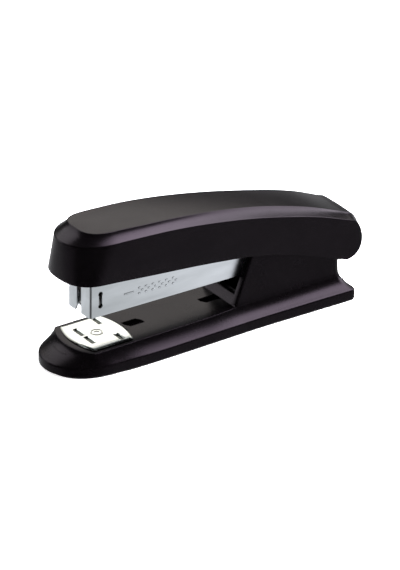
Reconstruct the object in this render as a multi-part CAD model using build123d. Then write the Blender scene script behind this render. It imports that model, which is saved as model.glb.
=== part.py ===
"""Desktop stapler: hollow base, turning anvil, sheet-metal magazine and arched handle.

Millimetres, +Z up.  Lengths along the stapler are stations, counted back from a datum
near the base's nose; every solid is moved so that the origin is the middle of the
stapler's overall length, with the nose towards -X.
"""
from build123d import *
import math
import os

os.makedirs("parts", exist_ok=True)

# ---- overall -------------------------------------------------------------------
NOSE_TIP = -1.6               # front of the base
HANDLE_REAR = 138.3           # rear end of the handle
MIDDLE = (NOSE_TIP + HANDLE_REAR) / 2
GAP = 0.2                     # running gap between sheets that slide past each other

# ---- base ----------------------------------------------------------------------
SKIRT_BOTTOM = 0.5
SKIRT_TOP = 4.2
BEVEL_MID = 6.4
DECK_TOP = 9.0
DECK_UNDER = 7.0
BASE_REAR = 131.2
REAR_CORNER = 2.2
BASE_FRONT_STATION = 38.0     # widest station behind the nose
BASE_WAIST_STATION = 88.0
BASE_HALF_FRONT = 18.1
BASE_HALF_WAIST = 17.25
BASE_HALF_REAR = 17.9
BEVEL_SIDE = (2.9, 4.7)       # how far the bevel's middle and its top stand in at the sides
BEVEL_NOSE = (4.6, 8.4)       # the same at the nose
BEVEL_END = (1.9, 2.9)        # the same at the rear
BASE_WALL = 2.0
SOLE_EDGE = 0.15              # how far the sole's visible rim stands in at the sides and the rear
SOLE_NOSE = 1.2               # the same at the nose
SOLE_TOP = 1.8
FLARE_TOP = 12.3              # height where the pedestal's flare has run out
NECK_HALF = 11.7
NECK_REAR = 127.8
NECK_CORNER = 3.0
CHANNEL_HALF = 9.6            # half-width of the slot between the cheeks
RIM_HALF = 9.0                # the same at the thicker front rim
RIM_DEPTH = 3.0
REAR_WALL_INNER = 125.6
FRAME_REAR = 122.0
REAR_WALL_TOP = 20.5
SILL_TOP = 13.1
CHEEK_FOOT = (77.9, 9.0)      # foot of the leaning front edge: station, height
CHEEK_LEAN = 21.3             # degrees back from upright
CHEEK_TOP = 31.0

# ---- hinge ---------------------------------------------------------------------
PIN_STATION = 119.0
PIN_HEIGHT = 27.0
PIN_RADIUS = 2.0
PIN_CLEARANCE = 0.06
PIN_HALF_LENGTH = 11.4
EAR_RADIUS = 4.4

# ---- steel frame under the deck ---------------------------------------------------
SHEET = 0.8
FRAME_FLOOR = 4.2             # underside of the floor plate
FRAME_FRONT = 34.0
FRAME_EAR_FRONT = 88.0
BASE_SCREW_STATIONS = (40.0, 60.0, 80.0)
SCREW_RADIUS = 1.4
SCREW_HEAD_RADIUS = 2.6
SCREW_HEAD_HEIGHT = 1.4
LEAF_THICKNESS = 0.6
LEAF_HALF = 4.5
RIVET_SHANK_RADIUS = 1.2
RIVET_HEAD_RADIUS = 2.2

# ---- anvil ---------------------------------------------------------------------
ANVIL_STATION = 22.0
ANVIL_HALF_WIDTH = 12.1
ANVIL_CORNER = 8.9            # corner distance ahead of and behind the middle
ANVIL_BULGE = 11.6            # the same at the middle of the curved ends
ANVIL_CORNER_RADIUS = 0.9
ANVIL_THICKNESS = 0.6
ANVIL_LIFT_GAP = 0.02
STEM_RADIUS = 1.8
STEM_HOLE_RADIUS = 1.9
BUTTON_RADIUS = 6.0
BUTTON_BOTTOM = 0.6
BUTTON_TOP = 2.4
CLOSING_STATION = 16.4        # grooves that fold the legs inwards
PINNING_STATION = 27.3        # grooves that splay the legs outwards
GROOVE_WIDTH = 1.7
GROOVE_DEPTH = 0.35

# ---- magazine, level before it is tilted to its rest angle ------------------------
MAGAZINE_TILT = 0.8           # degrees, nose up
MAGAZINE_FRONT = 14.1
MAGAZINE_HALF = 7.65
MAGAZINE_BOTTOM = 19.2
MAGAZINE_TOP = 33.9          # top of the front flanges and of the rear end
SIDE_TOP = 36.3               # the sides stand higher behind the flanges
MAGAZINE_SHEET = 0.7
MAGAZINE_FLOOR_REAR = 113.0
MAGAZINE_BEND = 1.0           # outer bend radius of the front corners
EXIT_REAR = 17.5              # rear edge of the opening that the staple leaves by
FLANGE_SLOT_HALF = 1.5
FLANGE_CUT = 2.2              # sloping cut at the inner foot of the +Y flange
SIDE_SLOT_STATION = 18.9
SIDE_SLOT_LOW = 22.6
SIDE_SLOT_HIGH = 29.6
SIDE_SLOT_HALF = 0.75
SIDE_SLOT_LOBE = 1.0
RAIL_HALF = 5.6
RAIL_FRONT = 17.8
RAIL_REAR = 110.0
RAIL_HEIGHT = 6.2
RAIL_SLOT_FRONT = 30.0
RAIL_SLOT_HALF = 1.2
STAPLE_FRONT = 16.1
STAPLE_LENGTH = 36.0
STAPLE_HALF = 6.45
STAPLE_WIRE = 0.6
ROD_HEIGHT = 22.8
ROD_RADIUS = 0.75
SADDLE_LENGTH = 12.0
SADDLE_HALF = 6.6
SADDLE_SHEET = 0.8
BLOCK_LENGTH = 4.0
BLOCK_RIVET_RADIUS = 1.2

# ---- handle --------------------------------------------------------------------
HANDLE_FRONT_TOP = 5.6        # front face at its upper edge
HANDLE_FRONT_LOW = 4.2        # front face at its lower edge
HANDLE_REAR_HEIGHT = 24.4     # height of the rearmost point of the round end
HANDLE_HALF_FRONT = 14.6
HANDLE_HALF_WAIST = 13.7
HANDLE_HALF_REAR = 13.8
NOSE_BEVEL_LENGTH = 7.0       # rim to crease at the nose
NOSE_RIM_HEIGHT = 53.0
HANDLE_BEVEL_INSET = 4.0
HANDLE_BEVEL_DROP = 2.7
HANDLE_WALL = 1.4
HANDLE_ROOF = 2.0
BLADE_THICKNESS = 0.5
BLADE_FRONT = 15.2
BLADE_HALF = 6.3
BLADE_LEAN = 4.3              # degrees back from upright
BLADE_TIP = 27.1
BLADE_HEAD = 46.4
TAB_LOW = 42.2                # foot of the frame's tab behind the blade
TAB_STATION = 17.5            # front of that tab at the height of the frame's plate
COVER_SCREW_STATIONS = (36.0, 92.0)
EAR_FOOT = 21.0               # lower edge of the frame's sides beside the magazine


def box(x0, x1, y0, y1, z0, z1):
    """Box between two corners."""
    return Pos((x0 + x1) / 2, (y0 + y1) / 2, (z0 + z1) / 2) * Box(x1 - x0, y1 - y0, z1 - z0)


def side_plate(points, y0, y1):
    """Flat plate with the given outline in stations and heights, from y0 to y1."""
    face = make_face(Plane.XZ * Polyline(*points, close=True))
    return extrude(Pos(0, y0, 0) * face, amount=y1 - y0, dir=(0, 1, 0))


def cross_pin(station, height, radius, half_length):
    """Cylinder across the stapler."""
    return Pos(station, 0, height) * Rot(90, 0, 0) * Cylinder(radius, 2 * half_length)


def post(station, y, radius, z0, z1):
    """Upright cylinder."""
    return Pos(station, y, (z0 + z1) / 2) * Cylinder(radius, z1 - z0)


def tilt(shape):
    """Turn a level magazine piece about the hinge pin to its rest angle."""
    hinge = Pos(PIN_STATION, 0, PIN_HEIGHT)
    back = Pos(-PIN_STATION, 0, -PIN_HEIGHT)
    return hinge * Rot(0, MAGAZINE_TILT, 0) * back * shape


def save(name, shape):
    """Move a node from stations to the row's origin and write it."""
    moved = Pos(-MIDDLE, 0, 0) * shape
    moved.label = name
    export_step(moved, f"parts/{name}.step")


# ---- base ----------------------------------------------------------------------

def base_outline(nose, inset, rear, corner):
    """Plan of the base, with its sides moved in: blunt round nose, slim waist, square rear."""
    half_front = BASE_HALF_FRONT - inset
    half_waist = BASE_HALF_WAIST - inset
    half_rear = BASE_HALF_REAR - inset
    nose_length = BASE_FRONT_STATION - nose
    with BuildSketch() as sketch:
        with BuildLine() as line:
            Spline((nose, 0), (nose + 0.131 * nose_length, 0.68 * half_front),
                   (nose + 0.311 * nose_length, 0.89 * half_front),
                   (nose + 0.6 * nose_length, 0.97 * half_front), (BASE_FRONT_STATION, half_front),
                   tangents=[(0, 1), (1, 0)])
            Spline((BASE_FRONT_STATION, half_front), (BASE_WAIST_STATION, half_waist),
                   (rear - corner, half_rear), tangents=[(1, 0), (1, 0)])
            RadiusArc((rear - corner, half_rear), (rear, half_rear - corner), corner)
            Line((rear, half_rear - corner), (rear, 0))
            mirror(line.line, about=Plane.XZ)
        make_face()
    return sketch.sketch


def inset_outline(inset, corner):
    """Plan of the base moved in by the same amount all round."""
    return base_outline(NOSE_TIP + inset, inset, BASE_REAR - inset, corner)


def base_outer():
    """Skirt, hollowed bevel and deck in one block."""
    plan = inset_outline(0, REAR_CORNER)
    skirt = Pos(0, 0, SKIRT_BOTTOM) * extrude(plan, amount=SKIRT_TOP - SKIRT_BOTTOM)
    levels = [Pos(0, 0, SKIRT_TOP) * plan]
    for height, side, nose, rear in zip((BEVEL_MID, DECK_TOP), BEVEL_SIDE, BEVEL_NOSE, BEVEL_END):
        outline = base_outline(NOSE_TIP + nose, side, BASE_REAR - rear, REAR_CORNER + rear / 2)
        levels.append(Pos(0, 0, height) * outline)
    return skirt + loft(levels, ruled=True)


def neck_outline(half, rear, corner):
    """Plan of the pedestal's neck, rounded at the rear corners only."""
    with BuildSketch() as sketch:
        with BuildLine() as line:
            Line((60, 0), (60, half))
            Line((60, half), (rear - corner, half))
            RadiusArc((rear - corner, half), (rear, half - corner), corner)
            Line((rear, half - corner), (rear, 0))
            mirror(line.line, about=Plane.XZ)
        make_face()
    return sketch.sketch


def cheek_front(height):
    """Station of the cheeks' leaning front edge at a height."""
    return CHEEK_FOOT[0] + (height - CHEEK_FOOT[1]) * math.tan(math.radians(CHEEK_LEAN))


def pedestal():
    """Two cheeks and a low rear wall, flared at the foot, with a leaning front edge."""
    half_foot = BASE_HALF_WAIST - BEVEL_SIDE[1]
    plan = neck_outline(NECK_HALF, NECK_REAR, NECK_CORNER)
    flare = loft([
        Pos(0, 0, DECK_TOP - 0.5) * neck_outline(half_foot, BASE_REAR - BEVEL_END[1], NECK_CORNER),
        Pos(0, 0, FLARE_TOP) * plan,
    ], ruled=True)
    neck = Pos(0, 0, FLARE_TOP) * extrude(plan, amount=CHEEK_TOP + 1 - FLARE_TOP)
    side = [
        (cheek_front(DECK_TOP - 0.5), DECK_TOP - 0.5),
        (cheek_front(CHEEK_TOP - 2), CHEEK_TOP - 2),
        (cheek_front(CHEEK_TOP - 2) + 4, CHEEK_TOP),
        (PIN_STATION + 1, CHEEK_TOP),
        (NECK_REAR - 4, PIN_HEIGHT),
        (NECK_REAR + 1, REAR_WALL_TOP),
        (BASE_REAR, DECK_TOP - 0.5),
    ]
    return (flare + neck) & side_plate(side, -20, 20)


def base_shell():
    """Black moulded base, open underneath, with the channel between the cheeks cut through."""
    shell = base_outer() + pedestal()
    under = extrude(inset_outline(BASE_WALL, REAR_CORNER), amount=SKIRT_TOP)
    cavity_nose = NOSE_TIP + BEVEL_NOSE[1] + BASE_WALL
    upper_plan = base_outline(cavity_nose, BEVEL_SIDE[1] + BASE_WALL, REAR_WALL_INNER, REAR_CORNER)
    upper = Pos(0, 0, SKIRT_TOP) * extrude(upper_plan, amount=DECK_UNDER - SKIRT_TOP)
    shell -= under + upper
    channel_front = cheek_front(SILL_TOP) + RIM_DEPTH
    shell -= box(channel_front, REAR_WALL_INNER, -CHANNEL_HALF, CHANNEL_HALF, DECK_UNDER - 1, 40)
    mouth = side_plate([(cheek_front(SILL_TOP) - 4, SILL_TOP), (cheek_front(SILL_TOP) + 9, SILL_TOP),
                        (cheek_front(40) + 9, 40), (cheek_front(40) - 4, 40)], -RIM_HALF, RIM_HALF)
    shell -= mouth
    shell -= box(REAR_WALL_INNER - 1, BASE_REAR, -CHANNEL_HALF, CHANNEL_HALF, REAR_WALL_TOP, 40)
    sill = side_plate([(cheek_front(DECK_TOP - 1), DECK_TOP - 1), (cheek_front(SILL_TOP), SILL_TOP),
                       (cheek_front(SILL_TOP) + RIM_DEPTH, SILL_TOP),
                       (cheek_front(SILL_TOP) + RIM_DEPTH, DECK_TOP - 1)], -10.2, 10.2)
    shell += sill
    shell -= cross_pin(PIN_STATION, PIN_HEIGHT, PIN_RADIUS, PIN_HALF_LENGTH)
    shell -= post(ANVIL_STATION, 0, STEM_HOLE_RADIUS, 0, DECK_TOP + 1)
    for station in BASE_SCREW_STATIONS:
        shell += post(station, 0, SCREW_HEAD_RADIUS + 0.6, FRAME_FLOOR + SHEET, DECK_UNDER + 0.5)
        shell -= post(station, 0, SCREW_RADIUS, FRAME_FLOOR, DECK_UNDER + 1)
    return shell


def base_frame():
    """Steel channel under the deck; its ears stand in the pedestal and hold the hinge pin."""
    floor = box(FRAME_FRONT, FRAME_REAR, -CHANNEL_HALF + 0.05, CHANNEL_HALF - 0.05,
                FRAME_FLOOR, FRAME_FLOOR + SHEET)
    outline = [(FRAME_EAR_FRONT, FRAME_FLOOR), (FRAME_EAR_FRONT + 8, CHEEK_TOP - 3),
               (PIN_STATION, PIN_HEIGHT + EAR_RADIUS), (FRAME_REAR, PIN_HEIGHT - 3),
               (FRAME_REAR, FRAME_FLOOR)]
    frame = floor
    for side in (-1, 1):
        low = min(side * (CHANNEL_HALF - 0.05), side * (CHANNEL_HALF - 0.05 - SHEET))
        frame += side_plate(outline, low, low + SHEET)
    frame -= cross_pin(PIN_STATION, PIN_HEIGHT, PIN_RADIUS, PIN_HALF_LENGTH)
    for station in BASE_SCREW_STATIONS:
        frame -= post(station, 0, SCREW_RADIUS, 0, 8)
    for station in spring_rivet_stations():
        frame -= post(station, 0, RIVET_SHANK_RADIUS, 0, 8)
    return frame


def base_screws():
    """Screws through the steel frame into the shell's bosses."""
    screws = []
    for station in BASE_SCREW_STATIONS:
        head = post(station, 0, SCREW_HEAD_RADIUS, FRAME_FLOOR - SCREW_HEAD_HEIGHT, FRAME_FLOOR)
        head -= box(station - 2, station + 2, -0.3, 0.3, 0, FRAME_FLOOR - 0.8)
        head -= box(station - 0.3, station + 0.3, -2, 2, 0, FRAME_FLOOR - 0.8)
        screws.append(head + post(station, 0, SCREW_RADIUS, FRAME_FLOOR, DECK_UNDER + 0.6))
    return Compound(screws)


def sole_pad():
    """Rubber sole: a thin rim under the skirt, a plug inside it and a hole for the anvil button."""
    rim = base_outline(NOSE_TIP + SOLE_NOSE, SOLE_EDGE, BASE_REAR - SOLE_EDGE, REAR_CORNER)
    pad = extrude(rim, amount=SKIRT_BOTTOM)
    pad += extrude(inset_outline(BASE_WALL + GAP, REAR_CORNER), amount=SOLE_TOP)
    return pad - post(ANVIL_STATION, 0, BUTTON_RADIUS + 0.5, -1, 3)


def hinge_pin():
    """Rear pin with rounded ends."""
    return chamfer(cross_pin(PIN_STATION, PIN_HEIGHT, PIN_RADIUS, PIN_HALF_LENGTH).edges(), 0.3)


def spring_rivet_stations():
    """Stations of the rivets in the leaf spring's foot."""
    return (108.0, 114.0)


def return_spring():
    """Leaf spring that rises from the frame to the underside of the magazine."""
    floor = FRAME_FLOOR + SHEET
    path = [(117, floor), (104, floor), (100, floor + 1.2), (91.5, 18.4), (88.5, 18.7), (86, 17.6)]
    upper = [(x, z + LEAF_THICKNESS) for x, z in path]
    leaf = side_plate(path + upper[::-1], -LEAF_HALF, LEAF_HALF)
    for station in spring_rivet_stations():
        leaf -= post(station, 0, RIVET_SHANK_RADIUS, 0, 8)
    return leaf


def spring_rivets():
    """Domed rivets in the leaf spring's foot."""
    rivets = []
    for station in spring_rivet_stations():
        seat = FRAME_FLOOR + SHEET + LEAF_THICKNESS
        shank = post(station, 0, RIVET_SHANK_RADIUS, FRAME_FLOOR, seat)
        top = post(station, 0, RIVET_HEAD_RADIUS, seat, seat + 0.8)
        bottom = post(station, 0, RIVET_HEAD_RADIUS, FRAME_FLOOR - 0.8, FRAME_FLOOR)
        rivets.append(shank + chamfer(top.edges().group_by(Axis.Z)[-1], 0.4) + bottom)
    return Compound(rivets)


# ---- anvil ---------------------------------------------------------------------

def anvil_groove(station, y0, y1):
    """One clinching groove across the plate, ramped to full depth at its middle."""
    top = DECK_TOP + ANVIL_LIFT_GAP + ANVIL_THICKNESS
    half = GROOVE_WIDTH / 2
    middle = (y0 + y1) / 2
    with BuildSketch(Plane.YZ) as sketch:
        with BuildLine():
            Polyline((y0, top + 0.1), (middle, top - GROOVE_DEPTH), (y1, top + 0.1), close=True)
        make_face()
    return extrude(Pos(station - half, 0, 0) * sketch.sketch, amount=GROOVE_WIDTH)


def anvil_plate():
    """Bright plate with curved ends, straight sides and two pairs of grooves."""
    bottom = DECK_TOP + ANVIL_LIFT_GAP
    corner, bulge, half = ANVIL_CORNER, ANVIL_BULGE, ANVIL_HALF_WIDTH
    with BuildSketch(Plane.XY.offset(bottom)) as sketch:
        with BuildLine():
            Line((ANVIL_STATION - corner, half), (ANVIL_STATION + corner, half))
            ThreePointArc((ANVIL_STATION + corner, half), (ANVIL_STATION + bulge, 0),
                          (ANVIL_STATION + corner, -half))
            Line((ANVIL_STATION + corner, -half), (ANVIL_STATION - corner, -half))
            ThreePointArc((ANVIL_STATION - corner, -half), (ANVIL_STATION - bulge, 0),
                          (ANVIL_STATION - corner, half))
        make_face()
        fillet(sketch.vertices(), ANVIL_CORNER_RADIUS)
    plate = extrude(sketch.sketch, amount=ANVIL_THICKNESS)
    plate = chamfer(plate.edges().group_by(Axis.Z)[-1], 0.3)
    for side in (-1, 1):
        plate -= anvil_groove(CLOSING_STATION, *sorted((side * 0.6, side * 6.95)))
        plate -= anvil_groove(PINNING_STATION, *sorted((side * 4.9, side * 10.6)))
    return plate - post(ANVIL_STATION, 0, STEM_RADIUS, 0, 20)


def anvil_stem():
    """Riveted post: a flat head flush in the plate and a shoulder under it."""
    top = DECK_TOP + ANVIL_LIFT_GAP + ANVIL_THICKNESS
    stem = post(ANVIL_STATION, 0, STEM_RADIUS, BUTTON_TOP - 1.0, top)
    recess = post(ANVIL_STATION, 0, 1.1, top - 0.2, top + 1)
    return stem - recess


def anvil_button():
    """Push button on the lower end of the stem, reached from under the sole."""
    button = post(ANVIL_STATION, 0, BUTTON_RADIUS, BUTTON_BOTTOM, BUTTON_TOP)
    button = chamfer(button.edges().group_by(Axis.Z)[0], 0.4)
    return button - post(ANVIL_STATION, 0, STEM_RADIUS + PIN_CLEARANCE, BUTTON_TOP - 1.05, 9)


def coil(radius, wire, z0, z1, turns):
    """Upright coil spring between two heights."""
    pitch = (z1 - z0 - wire) / turns
    helix = Helix(pitch=pitch, height=pitch * turns, radius=radius)
    start = Plane(origin=helix @ 0, z_dir=helix % 0)
    wire_section = start * Circle(wire / 2)
    return Pos(0, 0, z0 + wire / 2) * sweep(wire_section, path=helix, is_frenet=True)


def anvil_spring():
    """Coil spring between the button and the underside of the deck."""
    return Pos(ANVIL_STATION, 0, 0) * coil(3.2, 0.5, BUTTON_TOP + 0.05, DECK_UNDER - 0.05, 4)


# ---- magazine, drawn level -------------------------------------------------------

FLOOR_TOP = MAGAZINE_BOTTOM + MAGAZINE_SHEET
RAIL_TOP = FLOOR_TOP + RAIL_HEIGHT
CROWN_TOP = RAIL_TOP + 0.05 + STAPLE_WIRE
STRIP_REAR = STAPLE_FRONT + STAPLE_LENGTH
SADDLE_FRONT = STRIP_REAR + 0.05
SADDLE_REAR = SADDLE_FRONT + SADDLE_LENGTH
BLOCK_FRONT = RAIL_REAR - 0.2


def magazine_housing():
    """Silver channel: floor, two sides round the hinge pin and two front flanges."""
    half, sheet = MAGAZINE_HALF, MAGAZINE_SHEET
    rear = PIN_STATION + EAR_RADIUS
    body = box(MAGAZINE_FRONT, rear, -half, half, MAGAZINE_BOTTOM, SIDE_TOP)
    front_corners = body.edges().filter_by(Axis.Z).group_by(Axis.X)[0]
    body = fillet(front_corners, MAGAZINE_BEND)
    inner = box(MAGAZINE_FRONT + sheet, rear + 1, -half + sheet, half - sheet, FLOOR_TOP, SIDE_TOP + 1)
    inner_corners = inner.edges().filter_by(Axis.Z).group_by(Axis.X)[0]
    body -= fillet(inner_corners, MAGAZINE_BEND - sheet)
    body -= box(MAGAZINE_FRONT + sheet, EXIT_REAR, -half + sheet, half - sheet, 0, FLOOR_TOP + 1)
    body -= box(MAGAZINE_FLOOR_REAR, rear + 1, -half + sheet, half - sheet, 0, 40)
    body -= box(0, MAGAZINE_FRONT + sheet + 0.05, -FLANGE_SLOT_HALF, FLANGE_SLOT_HALF, 0, 40)
    cut = Polyline((FLANGE_SLOT_HALF, MAGAZINE_BOTTOM - 1), (FLANGE_SLOT_HALF + 1.3, MAGAZINE_BOTTOM - 1),
                   (FLANGE_SLOT_HALF + 1.1, MAGAZINE_BOTTOM),
                   (FLANGE_SLOT_HALF, MAGAZINE_BOTTOM + FLANGE_CUT), close=True)
    body -= extrude(make_face(Plane.YZ * cut), amount=MAGAZINE_FRONT + sheet + 0.05)
    rear_cut = side_plate([(PIN_STATION - 8, MAGAZINE_BOTTOM - 1), (rear + 1, MAGAZINE_BOTTOM - 1),
                           (rear + 1, PIN_HEIGHT), (rear, PIN_HEIGHT),
                           (PIN_STATION + 2, PIN_HEIGHT - EAR_RADIUS),
                           (PIN_STATION - 4, MAGAZINE_BOTTOM)], -20, 20)
    top_cut = side_plate([(PIN_STATION - 76, SIDE_TOP), (PIN_STATION - 16, MAGAZINE_TOP + 0.3),
                          (PIN_STATION + 2, PIN_HEIGHT + EAR_RADIUS), (rear, PIN_HEIGHT),
                          (rear + 1, PIN_HEIGHT),
                          (rear + 1, SIDE_TOP + 1), (PIN_STATION - 76, SIDE_TOP + 1)], -20, 20)
    front_cut = side_plate([(0, MAGAZINE_TOP), (MAGAZINE_FRONT + 1.6, MAGAZINE_TOP),
                            (MAGAZINE_FRONT + 3.4, SIDE_TOP + 1), (0, SIDE_TOP + 1)], -20, 20)
    body -= rear_cut + top_cut + front_cut
    slot_length = SIDE_SLOT_HIGH - SIDE_SLOT_LOW
    slot = box(SIDE_SLOT_STATION - SIDE_SLOT_HALF, SIDE_SLOT_STATION + SIDE_SLOT_HALF, -20, 20,
               SIDE_SLOT_LOW + SIDE_SLOT_LOBE, SIDE_SLOT_HIGH - SIDE_SLOT_LOBE)
    for height in (SIDE_SLOT_LOW + SIDE_SLOT_LOBE, SIDE_SLOT_LOW + slot_length - SIDE_SLOT_LOBE):
        slot += cross_pin(SIDE_SLOT_STATION, height, SIDE_SLOT_LOBE, 20)
    body -= slot
    body -= cross_pin(PIN_STATION, PIN_HEIGHT, PIN_RADIUS + PIN_CLEARANCE, 20)
    body -= cross_pin(block_rivet_station(), FLOOR_TOP + 3.5, BLOCK_RIVET_RADIUS, 20)
    return tilt(body)


def staple_rail():
    """Inverted channel under the staples, slotted along its top for the pusher."""
    rail = box(RAIL_FRONT, RAIL_REAR, -RAIL_HALF, RAIL_HALF, FLOOR_TOP, RAIL_TOP)
    rail -= box(RAIL_FRONT + 0.7, RAIL_REAR + 1, -RAIL_HALF + 0.7, RAIL_HALF - 0.7, 0, RAIL_TOP - 0.7)
    rail -= box(RAIL_SLOT_FRONT, RAIL_REAR + 1, -RAIL_SLOT_HALF, RAIL_SLOT_HALF, 0, 40)
    rail -= Pos(RAIL_FRONT, 0, ROD_HEIGHT) * Rot(0, 90, 0) * Cylinder(ROD_RADIUS, 4)
    return tilt(rail)


def staple_strip():
    """Glued strip of staples: an inverted channel, ribbed where the wires meet."""
    bottom = FLOOR_TOP + 0.1
    strip = box(STAPLE_FRONT, STRIP_REAR, -STAPLE_HALF, STAPLE_HALF, bottom, CROWN_TOP)
    strip -= box(STAPLE_FRONT - 1, STRIP_REAR + 1, -STAPLE_HALF + STAPLE_WIRE, STAPLE_HALF - STAPLE_WIRE,
                 bottom - 1, CROWN_TOP - STAPLE_WIRE)
    return tilt(strip)


def guide_rod():
    """Straight rod inside the rail, from its front plate to the rear block."""
    length = BLOCK_FRONT + 0.6 - RAIL_FRONT
    rod = Pos(RAIL_FRONT + length / 2, 0, ROD_HEIGHT) * Rot(0, 90, 0) * Cylinder(ROD_RADIUS, length)
    return tilt(rod)


def pusher_spring():
    """Coil spring on the rod, between the pusher and the rear block."""
    length = BLOCK_FRONT - 0.1 - (SADDLE_REAR + 0.1)
    spring = coil(1.5, 0.45, 0, length, 26)
    return tilt(Pos(SADDLE_REAR + 0.1, 0, ROD_HEIGHT) * Rot(0, 90, 0) * spring)


def block_rivet_station():
    """Station of the rivet through the rear block."""
    return BLOCK_FRONT + BLOCK_LENGTH / 2


def rod_block():
    """Block that closes the rear of the rail and holds the rod's end."""
    half = MAGAZINE_HALF - MAGAZINE_SHEET
    block = box(RAIL_REAR, BLOCK_FRONT + BLOCK_LENGTH, -half, half, FLOOR_TOP, RAIL_TOP)
    block += box(BLOCK_FRONT, RAIL_REAR + 0.1, -4.6, 4.6, FLOOR_TOP, RAIL_TOP - 0.9)
    block -= Pos(BLOCK_FRONT, 0, ROD_HEIGHT) * Rot(0, 90, 0) * Cylinder(ROD_RADIUS, 6)
    block -= cross_pin(block_rivet_station(), FLOOR_TOP + 3.5, BLOCK_RIVET_RADIUS, 20)
    return tilt(block)


def block_rivet():
    """Flush rivet through the housing's sides and the rear block."""
    return tilt(cross_pin(block_rivet_station(), FLOOR_TOP + 3.5, BLOCK_RIVET_RADIUS, MAGAZINE_HALF - 0.01))


def handle_spring():
    """Torsion spring round the hinge pin: one leg down on the block, one up under the handle frame."""
    radius, wire, half = 2.9, 0.9, 3.0
    helix = Helix(pitch=1.0, height=2 * half, radius=radius)
    start = Plane(origin=helix @ 0, z_dir=helix % 0)
    turned = sweep(start * Circle(wire / 2), path=helix, is_frenet=True)
    turned = Pos(PIN_STATION, half, PIN_HEIGHT) * Rot(90, 0, 0) * turned
    upper = Pos(PIN_STATION - 6, -half, PIN_HEIGHT + radius + 1.2)
    upper *= Rot(0, -79, 0) * Cylinder(wire / 2, 12)
    lower = Pos(PIN_STATION - 2.4, half, PIN_HEIGHT - radius - 0.8)
    lower *= Rot(0, 71, 0) * Cylinder(wire / 2, 4.4)
    return tilt(turned + upper + lower)


# ---- pusher --------------------------------------------------------------------

def pusher_saddle():
    """Steel saddle over the rail that pushes the staples."""
    outer = box(SADDLE_FRONT, SADDLE_REAR, -SADDLE_HALF, SADDLE_HALF, FLOOR_TOP + 0.6, CROWN_TOP + 0.5)
    inner_half = SADDLE_HALF - SADDLE_SHEET
    inner = box(SADDLE_FRONT - 1, SADDLE_REAR + 1, -inner_half, inner_half, 0, RAIL_TOP + 0.12)
    return tilt(outer - inner)


def pusher_slider():
    """Plastic slider in the rail, with a neck through the slot to the saddle."""
    block = box(SADDLE_FRONT + 1, SADDLE_REAR, -4.6, 4.6, FLOOR_TOP + 0.3, RAIL_TOP - 0.9)
    neck = box(SADDLE_FRONT + 1.5, SADDLE_REAR - 0.5, -1.0, 1.0, RAIL_TOP - 1.2, RAIL_TOP + 0.12)
    slider = block + neck
    bore = Pos(SADDLE_FRONT + 6, 0, ROD_HEIGHT) * Rot(0, 90, 0)
    slider -= bore * Cylinder(ROD_RADIUS + PIN_CLEARANCE, 2 * SADDLE_LENGTH)
    return tilt(slider)


# ---- handle --------------------------------------------------------------------

HANDLE_TOP_LINE = [(6, 57.3), (28, 56.3), (52, 54.3), (76, 50.6), (100, 45.1), (118, 39.6), (132, 34.4)]
HANDLE_LOW_LINE = [(HANDLE_FRONT_LOW - 0.2, 38.6), (42, 35.3), (88, 29.3), (107, 24.1), (121, 19.0),
                   (129.6, 16.3)]
HANDLE_HALF_TOP = [(0, 10.4), (30, 10.8), (52, 10.4), (76, 9.2), (96, 8.6), (118, 9.2), (HANDLE_REAR, 9.6)]


def handle_plan(inset):
    """Plan of the handle: blunt nose, slightly waisted sides, rounded rear corners."""
    nose = HANDLE_FRONT_LOW + inset
    rear = HANDLE_REAR - inset
    front_half = HANDLE_HALF_FRONT - inset
    waist_half = HANDLE_HALF_WAIST - inset
    rear_half = HANDLE_HALF_REAR - inset
    corner = 6.0 - inset
    length = 30.0 - nose
    with BuildSketch() as sketch:
        with BuildLine() as line:
            Spline((nose, 0), (nose + 0.16 * length, 0.70 * front_half),
                   (nose + 0.38 * length, 0.935 * front_half), (30, front_half),
                   tangents=[(0, 1), (1, 0)])
            Spline((30, front_half), (96, waist_half), (rear - corner, rear_half), tangents=[(1, 0), (1, 0)])
            RadiusArc((rear - corner, rear_half), (rear, rear_half - corner), corner)
            Line((rear, rear_half - corner), (rear, 0))
            mirror(line.line, about=Plane.XZ)
        make_face()
    return sketch.sketch


def handle_side(inset, roof, drop_low):
    """Side view of the handle: arched top, leaning front with its bevel, round rear end."""
    top = [(x, z - roof) for x, z in HANDLE_TOP_LINE]
    low = [(x, z - drop_low) for x, z in HANDLE_LOW_LINE]
    rearmost = (HANDLE_REAR - inset, HANDLE_REAR_HEIGHT)
    with BuildSketch(Plane.XZ) as sketch:
        with BuildLine():
            Spline(*top)
            Line(low[0], top[0])
            if drop_low:
                lip = HANDLE_REAR - 2 * inset
                TangentArc(rearmost, top[-1], tangent=(0, 1))
                Polyline(rearmost, (lip, low[-1][1] + 6), (lip, low[-1][1]), low[0])
            else:
                ThreePointArc(top[-1], rearmost, low[-1])
                Spline(*low)
        make_face()
        with BuildLine():
            front = HANDLE_FRONT_TOP + inset
            crease = front + NOSE_BEVEL_LENGTH
            Polyline((front - 6, 60), (front - 0.9, NOSE_RIM_HEIGHT - roof),
                     (crease, HANDLE_TOP_LINE[0][1] - roof), (crease, 60), close=True)
        make_face(mode=Mode.SUBTRACT)
    return extrude(sketch.sketch, amount=20, both=True)


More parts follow.
